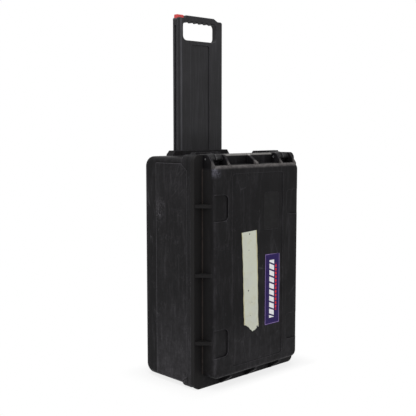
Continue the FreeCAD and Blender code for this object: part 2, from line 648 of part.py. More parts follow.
cut_out(lid, "seal_groove", "XZ", seam - v.seam_gap - v.seal_deep, seam + 1,
        rounded(-seal_out, seal_out, v.seal_end, v.case_height - v.seal_top, v.seal_corner),
        rounded(-seal_out + v.seal_wide, seal_out - v.seal_wide, v.seal_end + v.seal_wide,
                v.case_height - v.seal_top - v.seal_wide, v.seal_corner - v.seal_wide))

# Seal: one closed rubber ring in the lid's groove.
seal = make_body("lid_gasket")
slim = v.pin_slack
extrude(seal, "ring", "XZ", seam - v.seam_gap - v.seal_deep, seam - v.seam_gap,
        rounded(-seal_out + slim, seal_out - slim, v.seal_end + slim, v.case_height - v.seal_top - slim,
                v.seal_corner - slim),
        rounded(-seal_out + v.seal_wide - slim, seal_out - v.seal_wide + slim, v.seal_end + v.seal_wide - slim,
                v.case_height - v.seal_top - v.seal_wide + slim, v.seal_corner - v.seal_wide + slim))

# Hinge pins, one through each set of three knuckles.
for side in (-1, 1):
    tag = "left" if side < 0 else "right"
    pin = rod("hinge_pin_" + tag, v.hinge_pin_radius, v.knuckle_long * 3,
              v.hinge_x * side - v.knuckle_long * 1.5, seam, v.hinge_z)
    nodes.append(pin)

# Latches: a barrel round the pin, a plate back over the rim, a nose behind the keeper.
for side in (-1, 1):
    tag = "left" if side < 0 else "right"
    low, high = sorted(((v.latch_in + v.latch_slack) * side, (v.latch_out - v.latch_slack) * side),
                       key=lambda item: item.value)
    centre = (v.latch_in + v.latch_out) / 2 * side
    latch = make_body("latch_lever_" + tag)
    nose = seam + v.keeper_wide + v.seam_gap * 3
    extrude(latch, "barrel", "YZ", low, high, disc(latch_y, latch_z, v.barrel_radius))
    extrude(latch, "plate", "YZ", low, high, polygon(
        (latch_y - v.barrel_radius + 1.2, latch_z + 3), (latch_y - 1, latch_high), (nose + v.tooth_wide, latch_high),
        (nose + v.tooth_wide, latch_under - v.tooth_deep), (nose, latch_under - v.tooth_deep),
        (nose, latch_under), (latch_y + v.barrel_radius - 1, latch_under),
        (latch_y, latch_z)))
    extrude(latch, "rib", "YZ", centre - 1.5, centre + 1.5, polygon(
        (latch_y - v.barrel_radius - 2.4, latch_z - 2), (latch_y - v.barrel_radius - 2.4, latch_z + 2),
        (latch_y - 3, latch_high + 0.6), (latch_y + 6, latch_high + 0.6), (latch_y + 6, latch_z)))
    cut_out(latch, "pin_bore", "YZ", low - 1, high + 1, disc(latch_y, latch_z, v.latch_pin_radius + v.pin_slack))
    button_y = seam - 4
    half_x = v.button_wide / 2
    half_y = v.button_long / 2
    cut_out(latch, "button_pocket", "XY", latch_high - v.button_sink, latch_high + 1,
            rounded(centre - half_x, centre + half_x, button_y - half_y, button_y + half_y, 2))
    button = make_body("latch_button_" + tag)
    gap = v.button_slack
    extrude(button, "cap", "XY", latch_high - v.button_sink + v.button_throw + gap, latch_high + v.button_proud,
            rounded(centre - half_x + gap, centre + half_x - gap, button_y - half_y + gap,
                    button_y + half_y - gap, 1.8))
    soften(button, "Chamfer", "cap_edge", 0.5, lambda e: flat_at(e, "z", latch_high + v.button_proud))
    start = (v.latch_in - v.ear_thick) if side > 0 else -(v.latch_out + v.ear_thick)
    pin = rod("latch_pin_" + tag, v.latch_pin_radius, v.latch_out - v.latch_in + v.ear_thick * 2,
              start, latch_y, latch_z)
    nodes.append(pin)

# Pull handle: a wide slab with a hand hole, finger ridges, side grooves and a sunk blade.
grip = make_body("trolley_handle")
extrude(grip, "slab", "XZ", grip_front, grip_back, polygon(
    (-v.grip_half, v.grip_foot), (v.grip_half, v.grip_foot), (v.grip_half, v.grip_shoulder - 3),
    (v.grip_half - 3, v.grip_shoulder), (v.crown_foot, v.grip_shoulder), (v.crown_half, v.grip_top),
    (-v.crown_half, v.grip_top), (-v.crown_half - 5, v.grip_shoulder), (-v.grip_half + 3, v.grip_shoulder),
    (-v.grip_half, v.grip_shoulder - 3)))
cut_out(grip, "hand_hole", "XZ", grip_front - 1, grip_back + 1, rounded(
    -v.hole_half, v.hole_half, v.hole_low, v.hole_high, v.hole_corner))
soften(grip, "Fillet", "hand_hole_edge", 2.5, lambda e: (flat_at(e, "y", grip_front) or flat_at(e, "y", grip_back))
       and abs(middle(e).x) < v.hole_half.value + 1 and v.hole_low.value - 1 < middle(e).z < v.hole_high.value + 1)
first = -v.ridge_pitch * (v.ridge_count - 1) / 2
ridge = extrude(grip, "finger_ridge", "XZ", grip_front + 2.5, grip_back - 2.5,
                disc(first, v.hole_high + v.ridge_radius - v.ridge_drop, v.ridge_radius))
doc.recompute()
row = grip.newObject("PartDesign::LinearPattern", "finger_ridges")
row.Originals = [ridge]
row.Direction = (ridge.Profile[0], ["H_Axis"])
bind(row, "Length", v.ridge_pitch * (v.ridge_count - 1))
bind(row, "Occurrences", v.ridge_count)
grip.Tip = row
extrude(grip, "stop_wings", "XZ", grip_front, grip_back, block(
    -v.grip_half - v.wing_reach, v.grip_half + v.wing_reach, v.grip_foot, v.grip_foot + v.grip_stop))
mid = grip_front + v.grip_thick / 2
for side in (-1, 1):
    tag = "left" if side < 0 else "right"
    low, high = sorted(((v.grip_half - v.groove_deep) * side, (v.grip_half + v.wing_reach + 1) * side),
                       key=lambda item: item.value)
    cut_out(grip, "side_groove_" + tag, "XZ", mid - v.groove_wide / 2, mid + v.groove_wide / 2,
            block(low, high, v.grip_foot - 1, v.grip_shoulder - 18))
cut_out(grip, "blade_front", "XZ", grip_front - 1, grip_front + v.blade_sink, rounded(
    -v.blade_half, v.blade_half, v.grip_foot - 20, v.blade_top, 8))
cut_out(grip, "blade_back", "XZ", grip_back - v.blade_sink, grip_back + 1, rounded(
    -v.blade_half, v.blade_half, v.grip_foot - 20, v.blade_top, 8))
cut_out(grip, "button_pocket", "XY", v.release_floor, v.grip_top + 5, block(
    -v.release_out - v.button_slack, -v.release_in + v.button_slack, mid - v.release_wide / 2 - v.button_slack,
    mid + v.release_wide / 2 + v.button_slack))
cut_out(grip, "rod_channel", "XY", v.rod_low - v.release_throw - 1, v.release_low + 1, block(
    -v.rod_x - v.rod_wide / 2 - v.button_slack, -v.rod_x + v.rod_wide / 2 + v.button_slack,
    lock_y - v.rod_thick / 2 - v.button_slack, lock_y + v.rod_thick / 2 + v.button_slack))
bolt_tip = -v.grip_half + v.seam_gap
cut_out(grip, "bolt_channel", "XZ", lock_y - v.rod_thick / 2 - v.button_slack, lock_y + v.rod_thick / 2 + v.button_slack,
        block(-v.grip_half - 1, bolt_tip + v.bolt_long + v.bolt_throw + v.button_slack,
              v.bolt_low - v.button_slack, v.bolt_high + v.button_slack))

# Release button with its lock rod, and the bolt that the rod draws back.
release = make_body("release_button")
extrude(release, "cap", "YZ", -v.release_out, -v.release_in, block(
    mid - v.release_wide / 2, mid + v.release_wide / 2, v.release_low, v.release_top))
soften(release, "Fillet", "cap_edge", 1.8, lambda e: flat_at(e, "z", v.release_top))
lock = make_body("lock_rod")
extrude(lock, "rod", "XY", v.rod_low, v.release_low, block(
    -v.rod_x - v.rod_wide / 2, -v.rod_x + v.rod_wide / 2, lock_y - v.rod_thick / 2, lock_y + v.rod_thick / 2))
bolt = make_body("lock_bolt")
extrude(bolt, "bolt", "XZ", lock_y - v.rod_thick / 2, lock_y + v.rod_thick / 2, block(
    bolt_tip, bolt_tip + v.bolt_long, v.bolt_low, v.bolt_high))

# Collar: the frame round the handle where it leaves the case.
collar = make_body("handle_collar")
collar_front = grip_front - v.collar_front + v.seam_gap / 3
collar_back = cover_seat - v.seam_gap / 3
collar_edge = v.collar_half - v.seam_gap / 3
extrude(collar, "frame", "XZ", collar_front, collar_back, polygon(
    (-collar_edge, v.collar_low + v.seam_gap / 3), (collar_edge, v.collar_low + v.seam_gap / 3), (collar_edge, body_top),
    (collar_edge - v.collar_slope, v.collar_top), (-collar_edge + v.collar_slope, v.collar_top),
    (-collar_edge, body_top)))
cut_out(collar, "slot", "XY", v.collar_low - 1, v.collar_top + 1, block(
    -v.grip_half - v.slide_slack, v.grip_half + v.slide_slack, grip_front - v.slide_slack, collar_back + 1))
soften(collar, "Fillet", "frame_edge", 1.5, lambda e: flat_at(e, "y", collar_front) and middle(e).z > body_top.value + 0.5)

# Back cover: closes the channel, with two sunk bands and screws down both edges.
cover = make_body("handle_cover")
gap = v.seam_gap / 3
extrude(cover, "plate", "XZ", cover_seat, rear, rounded(
    -v.cover_half + gap, v.cover_half - gap, v.cover_low + gap, v.collar_top - 4, v.cover_corner))
soften(cover, "Chamfer", "plate_edge", 1.2, lambda e: flat_at(e, "y", rear))
for side in (-1, 1):
    tag = "left" if side < 0 else "right"
    low, high = sorted((14 * side, (v.cover_half - 20) * side), key=lambda item: size(item).value)
    cut_out(cover, "band_" + tag, "XZ", rear - v.cover_rib, rear + 1, rounded(
        low, high, v.cover_low + 22, v.collar_top - 40, 8))
screw_places = []
for side in (-1, 1):
    for level in (v.cover_low + v.screw_in * 2, (v.cover_low + v.collar_top) / 2, v.collar_top - v.screw_in * 8):
        screw_places.append(((v.cover_half - v.screw_in) * side, level))
for index, (x, z) in enumerate(screw_places):
    cut_out(cover, "screw_hole_%d" % index, "XZ", cover_seat - 1, rear + 1, disc(x, z, v.screw_shank + v.pin_slack))
    cut_out(cover, "screw_sink_%d" % index, "XZ", rear - v.screw_rise, rear + 1, disc(x, z, v.screw_head + v.seam_gap))
    cut_out(base, "screw_hole_%d" % index, "XZ", cover_seat - v.screw_long + v.cover_thick - v.screw_rise, back + 1,
            disc(x, z, v.screw_shank + v.pin_slack))
pieces = []
for index, (x, z) in enumerate(screw_places):
    head = rod("screw_head_%d" % index, v.screw_head, v.screw_rise, x, rear - v.screw_rise, z, "Y")
    shank = rod("screw_shank_%d" % index, v.screw_shank, v.screw_long - 0.2, x,
                rear - v.screw_rise - v.screw_long + 0.2, z, "Y")
    screw = doc.addObject("Part::Fuse", "screw_%d" % index)
    screw.Base = head
    screw.Tool = shank
    pieces.append(screw)
screws = doc.addObject("Part::Compound", "cover_screws_set")
screws.Label = "cover_screws"
screws.Links = pieces
nodes.append(screws)

# Wheels: a tyre on a spoked hub, turning on an axle between the walls of its well.
for side in (-1, 1):
    tag = "left" if side < 0 else "right"
    centre = v.wheel_x * side
    half = v.wheel_wide / 2
    rim_radius = v.wheel_radius - v.tyre_thick
    hub = make_body("wheel_hub_" + tag)
    extrude(hub, "rim", "YZ", centre - half + 1, centre + half - 1, disc(wheel_y, v.wheel_radius, rim_radius))
    for face, low, high in (("in", centre - half, centre - 4), ("out", centre + 4, centre + half)):
        cut_out(hub, "dish_" + face, "YZ", low, high, disc(wheel_y, v.wheel_radius, rim_radius - 2.5),
                disc(wheel_y, v.wheel_radius, v.axle_radius + 3.5))
    first_hole = cut_out(hub, "spoke_hole", "YZ", centre - 5, centre + 5,
                         disc(wheel_y, v.wheel_radius + rim_radius * 0.62, 2.3))
    doc.recompute()
    ring = hub.newObject("PartDesign::PolarPattern", "spoke_holes")
    ring.Originals = [first_hole]
    hole_axis = sketch_on(hub, "axis", "YZ", centre, disc(wheel_y, v.wheel_radius, 1))
    ring.Axis = (hole_axis, ["N_Axis"])
    ring.Angle = 360
    ring.Occurrences = 6
    hub.Tip = ring
    cut_out(hub, "bore", "YZ", centre - half - 1, centre + half + 1, disc(wheel_y, v.wheel_radius, v.hub_bore))
    tyre = make_body("wheel_tyre_" + tag)
    extrude(tyre, "tread", "YZ", centre - half, centre + half, disc(wheel_y, v.wheel_radius, v.wheel_radius),
            disc(wheel_y, v.wheel_radius, rim_radius))
    soften(tyre, "Chamfer", "tread_edges", 2.5, lambda e: e.BoundBox.YLength > v.wheel_radius.value * 1.9)
    start = centre - well_half - v.axle_seat
    axle = rod("wheel_axle_" + tag, v.axle_radius, (well_half + v.axle_seat) * 2, start, wheel_y, v.wheel_radius)
    nodes.append(axle)

# Side handle on the right: a flat bow that folds into its recess, with a soft grip.
bow_low = v.side_z - v.side_long / 2
bow_high = v.side_z + v.side_long / 2
bow_x = half_width - v.side_x
bow = make_body("side_handle")
bar_front = side_pivot - v.side_reach
extrude(bow, "bow", "YZ", bow_x - v.side_thick / 2, bow_x + v.side_thick / 2, polygon(
    (bar_front, bow_low), (side_pivot, bow_low), (side_pivot, bow_low + v.side_arm),
    (bar_front + v.side_arm, bow_low + v.side_arm), (bar_front + v.side_arm, bow_high - v.side_arm),
    (side_pivot, bow_high - v.side_arm), (side_pivot, bow_high), (bar_front, bow_high)))
soften(bow, "Fillet", "bow_corners", v.side_arm * 0.6, lambda e: runs_along(e, "x") and near(middle(e).y, bar_front))
extrude(bow, "eye_low", "XY", bow_low, bow_low + v.side_arm, disc(bow_x, side_pivot, v.side_thick * 0.62))
extrude(bow, "eye_high", "XY", bow_high - v.side_arm, bow_high, disc(bow_x, side_pivot, v.side_thick * 0.62))
cut_out(bow, "pin_bores", "XY", bow_low - 1, bow_high + 1, disc(bow_x, side_pivot, v.side_pin_radius + v.pin_slack))
soft = make_body("side_handle_grip")
pad = v.side_grip_pad
extrude(soft, "sleeve", "XY", v.side_z - v.side_grip_long / 2, v.side_z + v.side_grip_long / 2, rounded(
    bow_x - v.side_thick / 2 - pad, bow_x + v.side_thick / 2 + pad, bar_front - pad, bar_front + v.side_arm + pad,
    v.side_thick / 2), block(bow_x - v.side_thick / 2, bow_x + v.side_thick / 2, bar_front, bar_front + v.side_arm))
pins = []
for index, low in enumerate((recess_low - v.side_pin_seat, bow_high - v.side_arm)):
    length = v.side_pin_seat + v.side_gap + v.side_arm
    pins.append(rod("side_pin_%d" % index, v.side_pin_radius, length, bow_x, side_pivot, low, "Z"))
side_pins = doc.addObject("Part::Compound", "side_handle_pins_set")
side_pins.Label = "side_handle_pins"
side_pins.Links = pins
nodes.append(side_pins)

doc.recompute()
faults = [item.Name for item in doc.Objects if "Invalid" in item.State or "Error" in item.State]
if faults:
    raise RuntimeError("objects that failed: " + ", ".join(faults))
os.makedirs("parts", exist_ok=True)
for node in nodes:
    shape = node.Shape
    if shape.isNull() or not shape.isValid() or not shape.Solids:
        raise RuntimeError("bad shape: " + node.Label)
    shape.exportStep("parts/" + node.Label + ".step")
    box = shape.BoundBox
    print("%-20s solids %d  volume %9.0f  x %7.1f %7.1f  y %7.1f %7.1f  z %7.1f %7.1f" % (
        node.Label, len(shape.Solids), shape.Volume, box.XMin, box.XMax, box.YMin, box.YMax, box.ZMin, box.ZMax))
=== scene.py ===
import math
import random

import bmesh
import bpy
from mathutils import Matrix, Vector


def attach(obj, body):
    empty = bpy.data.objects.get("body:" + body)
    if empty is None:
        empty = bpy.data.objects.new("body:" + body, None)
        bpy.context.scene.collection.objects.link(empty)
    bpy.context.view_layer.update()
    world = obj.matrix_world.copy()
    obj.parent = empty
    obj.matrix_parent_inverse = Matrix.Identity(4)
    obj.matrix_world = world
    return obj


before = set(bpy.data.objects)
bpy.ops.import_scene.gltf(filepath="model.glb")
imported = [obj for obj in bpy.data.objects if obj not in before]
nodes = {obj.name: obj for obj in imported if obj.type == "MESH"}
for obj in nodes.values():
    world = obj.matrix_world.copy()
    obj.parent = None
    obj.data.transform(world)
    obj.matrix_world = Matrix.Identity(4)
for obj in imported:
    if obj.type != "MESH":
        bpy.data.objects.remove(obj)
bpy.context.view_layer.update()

# Base shell: the deep half of the case, moulded in black plastic with a fine
# pebbled skin. Years of loading have left cloudy rubs, pale scuffs and long
# thin scratches on its side panels.


class Shade:
    """One value in a material. Sums and products of values add maths nodes."""

    def __init__(self, tree, socket=None):
        self.tree = tree
        self.socket = socket

    def make(self, kind, settings=None, inputs=None, output=0):
        node = self.tree.nodes.new("ShaderNode" + kind)
        for key, value in (settings or {}).items():
            if key == "stops":
                ramp = node.color_ramp
                while len(ramp.elements) < len(value):
                    ramp.elements.new(0.5)
                for stop, (place, shade) in zip(ramp.elements, value):
                    stop.position = place
                    stop.color = (*shade, 1) if isinstance(shade, tuple) else (shade, shade, shade, 1)
            else:
                setattr(node, key, value)
        for key, value in (inputs or {}).items():
            if isinstance(value, Shade):
                self.tree.links.new(value.socket, node.inputs[key])
            else:
                node.inputs[key].default_value = value
        return Shade(self.tree, node.outputs[output])

    def maths(self, operation, *values):
        return self.make("Math", {"operation": operation}, dict(enumerate(values)))

    def __add__(self, other):
        return self.maths("ADD", self, other)

    def __radd__(self, other):
        return self.maths("ADD", other, self)

    def __sub__(self, other):
        return self.maths("SUBTRACT", self, other)

    def __rsub__(self, other):
        return self.maths("SUBTRACT", other, self)

    def __mul__(self, other):
        return self.maths("MULTIPLY", self, other)

    def __rmul__(self, other):
        return self.maths("MULTIPLY", other, self)

    def __truediv__(self, other):
        return self.maths("DIVIDE", self, other)

    def size(self):
        return self.maths("ABSOLUTE", self)

    def larger(self, other):
        return self.maths("MAXIMUM", self, other)

    def root(self):
        return self.maths("SQRT", self)

    def sine(self):
        return self.maths("SINE", self)

    def fraction(self):
        return self.maths("FRACT", self)

    def clamp(self):
        return self.make("Clamp", None, {0: self})

    def between(self, low, high):
        """0 below low, 1 above high, and a soft step from one to the other."""
        return self.make("MapRange", {"interpolation_type": "SMOOTHSTEP"}, {0: self, 1: low, 2: high})

    def blend(self, first, second):
        """Two colours mixed by this value."""
        pair = [(*c, 1.0) if isinstance(c, tuple) else c for c in (first, second)]
        return self.make("Mix", {"data_type": "RGBA"}, {0: self, 6: pair[0], 7: pair[1]}, 2)


def start_finish(name):
    """A new material: its own wrapper, its shader, its place in the frame and that place's X, Y, Z."""
    made = bpy.data.materials.new(name)
    made.use_nodes = True
    tree = made.node_tree
    shader = tree.nodes["Principled BSDF"]
    kit = Shade(tree)
    place = kit.make("TexCoord", output=3)
    axes = [kit.make("SeparateXYZ", None, {0: place}, i) for i in range(3)]
    return made, kit, shader, place, axes


def end_finish(kit, shader, colour, rough, height, strength, distance=0.001):
    kit.tree.links.new(colour.socket, shader.inputs["Base Color"])
    kit.tree.links.new(rough.socket, shader.inputs["Roughness"])
    bump = kit.make("Bump", None, {"Strength": strength, "Distance": distance, "Height": height})
    kit.tree.links.new(bump.socket, shader.inputs["Normal"])


def scratches(kit, place, turn, stretch, scale, width):
    """Thin straight marks: the borders of long drawn-out cells, kept in a few patches."""
    laid = kit.make("Mapping", None, {0: place, 2: turn, 3: stretch})
    cells = kit.make("TexVoronoi", {"feature": "DISTANCE_TO_EDGE"}, {"Vector": laid, "Scale": scale})
    return 1 - cells.between(0.0, width)


def flecks(kit, place, scale, size, share):
    """Tiny round chips, one in some of the cells."""
    cells = kit.make("TexVoronoi", None, {"Vector": place, "Scale": scale})
    chance = kit.make("SeparateXYZ", None, {0: kit.make("TexVoronoi", None, {"Vector": place, "Scale": scale}, 1)})
    return (1 - cells.between(size * 0.6, size)) * (1 - chance.between(share, share + 0.01))


def bare_edges(kit, reach):
    """How near a surface point is to an outward edge of its own piece."""
    open_side = kit.make("AmbientOcclusion", {"samples": 6, "inside": True, "only_local": True},
                         {"Distance": reach}, 1)
    return (1 - open_side).between(0.08, 0.5)


def case_plastic(name, tone, worn, seed, rub=1.0, scored=1.0, reach=0.0035, sheltered=None):
    made, kit, shader, place, (x, y, z) = start_finish(name)
    moved = kit.make("Mapping", None, {0: place, 1: (seed, seed * 0.7, seed * 1.3)})
    upright = kit.make("Mapping", None, {0: moved, 3: (1.0, 1.0, 0.14)})
    cloud = kit.make("TexNoise", None, {"Vector": moved, "Scale": 7.0, "Detail": 6.0, "Roughness": 0.62})
    smear = kit.make("TexNoise", None, {"Vector": moved, "Scale": 24.0, "Detail": 8.0, "Roughness": 0.7})
    streak = kit.make("TexNoise", None, {"Vector": upright, "Scale": 85.0, "Detail": 7.0, "Roughness": 0.75})
    dust = kit.make("TexNoise", None, {"Vector": moved, "Scale": 190.0, "Detail": 5.0, "Roughness": 0.75})
    pebble = kit.make("TexNoise", None, {"Vector": place, "Scale": 900.0, "Detail": 2.0})
    scuffs = smear.between(0.55, 0.75) * dust.between(0.42, 0.66)
    falling = scratches(kit, moved, (0.5, 0.35, 0.9), (1.0, 1.0, 0.16), 34.0, 0.012)
    rising = scratches(kit, moved, (-0.62, 0.2, -0.5), (1.0, 1.0, 0.12), 26.0, 0.008)
    lines = falling * cloud.between(0.5, 0.62) + rising * smear.between(0.5, 0.6)
    edges = bare_edges(kit, reach) * (0.35 + dust.between(0.35, 0.65) * 0.65)
    if sheltered is not None:
        # the thin floors of the recesses would count as edges all over
        edges = edges * (y - sheltered).size().between(0.0003, 0.0006)
    wear = (cloud.between(0.42, 0.72) * 0.13 + streak.between(0.48, 0.72) * 0.3 + scuffs * 0.55
            + dust.between(0.5, 0.72) * smear.between(0.42, 0.66) * 0.22) * rub
    wear = (wear + lines * 0.5 * scored + edges * 0.75).clamp()
    chips = flecks(kit, moved, 48.0, 0.06, 0.13) * scored
    colour = chips.blend(wear.blend(tone, worn), (0.2, 0.17, 0.13))
    rough = 0.5 + wear * 0.16 + dust * 0.08
    end_finish(kit, shader, colour, rough, pebble * 0.6 + lines * -0.7 + dust * 0.2, 0.25, 0.0004)
    shader.inputs["Specular IOR Level"].default_value = 0.085
    return made, kit, shader, place, (x, y, z), wear


base_tone = (0.0040, 0.0037, 0.0042)
base_worn = (0.060, 0.057, 0.063)
base_plastic, kit, shader, place, (x, y, z), wear = case_plastic(
    "case_plastic_base", base_tone, base_worn, 0.0, 1.0, 1.0, 0.0018)
# the side panels take the knocks: a pale rub at the back, slanting scratches near the rim, dust low down
on_side = x.size().between(0.1745, 0.1755)
rub_noise = kit.make("TexNoise", None, {"Vector": place, "Scale": 42.0, "Detail": 9.0, "Roughness": 0.78})
rub_spot = (1 - (z - 0.420).size().between(0.008, 0.045)) * (1 - (y - 0.046).size().between(0.006, 0.022))
fine_rub = kit.make("TexNoise", None, {"Vector": place, "Scale": 240.0, "Detail": 5.0, "Roughness": 0.7})
# how far a point lies outside the raised panel, whose two front corners are cut off
panel_middle, panel_half_high = 0.2753, 0.2628
panel_front, panel_back = -0.0505, 0.0635
corner_cut_y, corner_cut_z, corner_depth = 0.021, 0.015, 0.0122
rise_out = (z - panel_middle).size() - panel_half_high
front_out = panel_front - y
corner_out = ((front_out / corner_cut_y) + (rise_out / corner_cut_z) + 1.0) * corner_depth
panel_out = rise_out.larger(y - panel_back).larger(front_out.larger(corner_out))
panel_line = 1 - (panel_out + 0.0008).size().between(0.0003, 0.0012)
# painted shade: a near-black line in the groove along the raised panel's foot and its front edge
panel_foot_shade = 1 - (panel_out - 0.0009).size().between(0.0006, 0.0014)
panel_foot_shade = panel_foot_shade.larger(1 - (y + 0.0515).size().between(0.0008, 0.0018))
tilted = kit.make("Mapping", {"vector_type": "TEXTURE"}, {0: place, 2: (0.84, 0.0, 0.0), 3: (1.0, 1.0, 26.0)})
slant = kit.make("TexNoise", None, {"Vector": tilted, "Scale": 420.0, "Detail": 1.0, "Roughness": 0.5})
slant = slant.between(0.63, 0.69) * rub_noise.between(0.4, 0.6)
slant = slant * z.between(0.43, 0.47) * (1 - y.between(0.0, 0.03))
low_dust = (1 - z.between(0.03, 0.24)) * rub_noise.between(0.2, 0.7)
rub_mark = rub_spot * fine_rub.between(0.42, 0.6) * (0.35 + rub_noise.between(0.4, 0.65))
speckle = rub_noise.between(0.48, 0.7) * fine_rub.between(0.4, 0.62)
side_wear = on_side * (0.03 + rub_mark * 0.9 + slant * 0.5 + low_dust * 0.36 + speckle * 0.2)
side_wear = side_wear + panel_line * x.size().between(0.1735, 0.1745) * fine_rub.between(0.25, 0.6) * 0.65
spared = on_side * z.between(0.36, 0.42) * (1 - y.between(-0.045, -0.03)) * 0.5
all_wear = (wear * (1 - spared) + side_wear).clamp()
side_colour = all_wear.blend(base_tone, base_worn)
# painted shade laid into the groove around the raised panel
side_colour = (panel_foot_shade * x.size().between(0.172, 0.173) * 0.85).blend(side_colour, (0.001, 0.001, 0.001))
kit.tree.links.new(side_colour.socket, shader.inputs["Base Color"])


def dress(names, finish):
    for name in names:
        nodes[name].data.materials.clear()
        nodes[name].data.materials.append(finish)


dress(["base_shell"], base_plastic)

# Lid shell: the ribbed front half, in the same black plastic. Its rounded
# edge is bruised where it meets walls and floors. Painted highlights lie along
# its rounded top, on the flange's top and, bluish, at the upper left corner.
lid_plastic, kit, shader, place, (x, y, z), wear = case_plastic(
    "case_plastic_lid", base_tone, base_worn, 3.7, 0.75, 0.8, 0.0020, -0.111)
edge_noise = kit.make("TexNoise", None, {"Vector": place, "Scale": 60.0, "Detail": 6.0, "Roughness": 0.7})
side_edge = x.size().between(0.139, 0.1475)
end_edge = (z - 0.2805).size().between(0.243, 0.2525)
proud = 1 - y.between(-0.1135, -0.108)
edge_wear = (side_edge * 0.6 + end_edge).clamp() * proud * (0.3 + edge_noise.between(0.35, 0.65) * 0.7)
# painted highlight: a soft bluish light patch at the upper left corner of the lid face, broken up by noise; it
# also lightens the wear there
corner_x = 1 - (x + 0.144).size().between(0.004, 0.020)
corner_highlight = corner_x * (1 - (z - 0.522).size().between(0.006, 0.022)) * (1 - y.between(-0.108, -0.1))
fine_wear = kit.make("TexNoise", None, {"Vector": place, "Scale": 230.0, "Detail": 6.0, "Roughness": 0.72})
corner_highlight = corner_highlight * (0.25 + edge_noise.between(0.4, 0.62) * 0.75) * (0.15 + fine_wear.between(0.42, 0.6) * 0.6)
# painted highlight: a pale band along the lid's rounded top edge, where the overhead light would catch it
top_round_highlight = z.between(0.5235, 0.5305) * (1 - y.between(-0.104, -0.099)) * (1 - x.size().between(0.146, 0.151))
top_round_highlight = top_round_highlight * (0.4 + edge_noise.between(0.35, 0.65) * 0.6)
# brown dirt in the corner between the pan's wall and the flange
pan_wall, flange_face = 0.1512, -0.0755
inner_line = (1 - (x.size() - pan_wall).size().between(0.0008, 0.0032)) * (
    1 - (y - flange_face).size().between(0.0008, 0.0030))
inner_line = inner_line * z.between(0.03, 0.04) * (1 - z.between(0.52, 0.53))
inner_line = inner_line * (0.4 + edge_noise.between(0.3, 0.6) * 0.6)
low_rub = (1 - z.between(0.05, 0.2)) * edge_noise.between(0.3, 0.7) * 0.14
# painted highlight: a bright pale strip along the flange's top edge, standing in for its glancing reflection
flange_top_highlight = z.between(0.5535, 0.5565) * (1 - y.between(-0.073, -0.07)) * (1 - x.size().between(0.088, 0.0895))
flange_top_highlight = flange_top_highlight * (0.6 + edge_noise.between(0.3, 0.6) * 0.4)
lid_wear_and_highlight = (wear + edge_wear * 0.4 + low_rub + corner_highlight * 0.4).clamp()
lid_colour = corner_highlight.blend(lid_wear_and_highlight.blend(base_tone, base_worn), (0.10, 0.10, 0.125))
lid_colour = top_round_highlight.blend(lid_colour, (0.095, 0.088, 0.086))
# a paler tone in the channel between the pan's wall and the rim: dust, and painted light lifting the shade there
gutter_dust_and_light = x.size().between(0.1485, 0.1515) * y.between(-0.112, -0.1)
lid_colour = gutter_dust_and_light.blend(lid_colour, (0.0092, 0.0086, 0.0088))
lid_colour = inner_line.blend(lid_colour, (0.042, 0.034, 0.031))
lid_colour = flange_top_highlight.blend(lid_colour, (0.3, 0.29, 0.28))
kit.tree.links.new(lid_colour.socket, shader.inputs["Base Color"])
dress(["lid_shell"], lid_plastic)

# Collar and back cover: the frame and the plate that close the handle's
# channel, from the same plastic but less knocked about.
trim_plastic = case_plastic("case_plastic_trim", base_tone, base_worn, 8.1, 0.6, 0.6, 0.0012)[0]
dress(["handle_collar", "handle_cover"], trim_plastic)

# Seal: a soft rubber ring in the lid's groove, a little chalky with age.
seal_rubber, kit, shader, place, axes = start_finish("seal_rubber")
chalk = kit.make("TexNoise", None, {"Vector": place, "Scale": 80.0, "Detail": 5.0})
end_finish(kit, shader, chalk.between(0.4, 0.8).blend((0.009, 0.009, 0.009), (0.03, 0.03, 0.029)),
           0.7 + chalk * 0.2, chalk, 0.2, 0.0003)
shader.inputs["Specular IOR Level"].default_value = 0.25
dress(["lid_gasket"], seal_rubber)

# Pins, axles, screws and the lock: plain drawn steel with fine marks along
# the work and a dull film.
pin_steel, kit, shader, place, axes = start_finish("drawn_steel")
drawn = kit.make("Mapping", None, {0: place, 3: (0.06, 1.0, 1.0)})
grain = kit.make("TexNoise", None, {"Vector": drawn, "Scale": 1400.0, "Detail": 3.0})
film = kit.make("TexNoise", None, {"Vector": place, "Scale": 90.0, "Detail": 6.0})
end_finish(kit, shader, film.between(0.35, 0.75).blend((0.5, 0.5, 0.51), (0.27, 0.265, 0.26)),
           0.28 + film * 0.25, grain, 0.15, 0.0002)
shader.inputs["Metallic"].default_value = 1.0
dress(["hinge_pin_left", "hinge_pin_right", "latch_pin_left", "latch_pin_right", "lock_rod", "lock_bolt",
       "wheel_axle_left", "wheel_axle_right", "side_handle_pins"], pin_steel)
screw_steel, kit, shader, place, axes = start_finish("blackened_screw")
film = kit.make("TexNoise", None, {"Vector": place, "Scale": 260.0, "Detail": 5.0})
end_finish(kit, shader, film.between(0.5, 0.75).blend((0.03, 0.03, 0.032), (0.16, 0.155, 0.15)),
           0.35 + film * 0.2, film, 0.2, 0.0002)
shader.inputs["Metallic"].default_value = 0.9
dress(["cover_screws"], screw_steel)

# Latches: smooth black levers, shinier than the shells from being thumbed,
# each with a sprung button let into its plate.
latch_plastic, kit, shader, place, (x, y, z) = start_finish("latch_plastic")
cloud = kit.make("TexNoise", None, {"Vector": place, "Scale": 45.0, "Detail": 6.0, "Roughness": 0.65})
nicks = kit.make("TexNoise", None, {"Vector": place, "Scale": 420.0, "Detail": 4.0})
top_rub = z.between(0.555, 0.5595)
latch_wear = (cloud.between(0.45, 0.75) * 0.2 + top_rub * nicks.between(0.4, 0.7) * 0.4
              + bare_edges(kit, 0.0025) * 0.7).clamp()
end_finish(kit, shader, latch_wear.blend((0.006, 0.0058, 0.0063), (0.075, 0.073, 0.076)),
           0.38 + cloud * 0.15, nicks, 0.15, 0.0003)
shader.inputs["Specular IOR Level"].default_value = 0.22
dress(["latch_lever_left", "latch_lever_right", "latch_button_left", "latch_button_right", "side_handle"],
      latch_plastic)

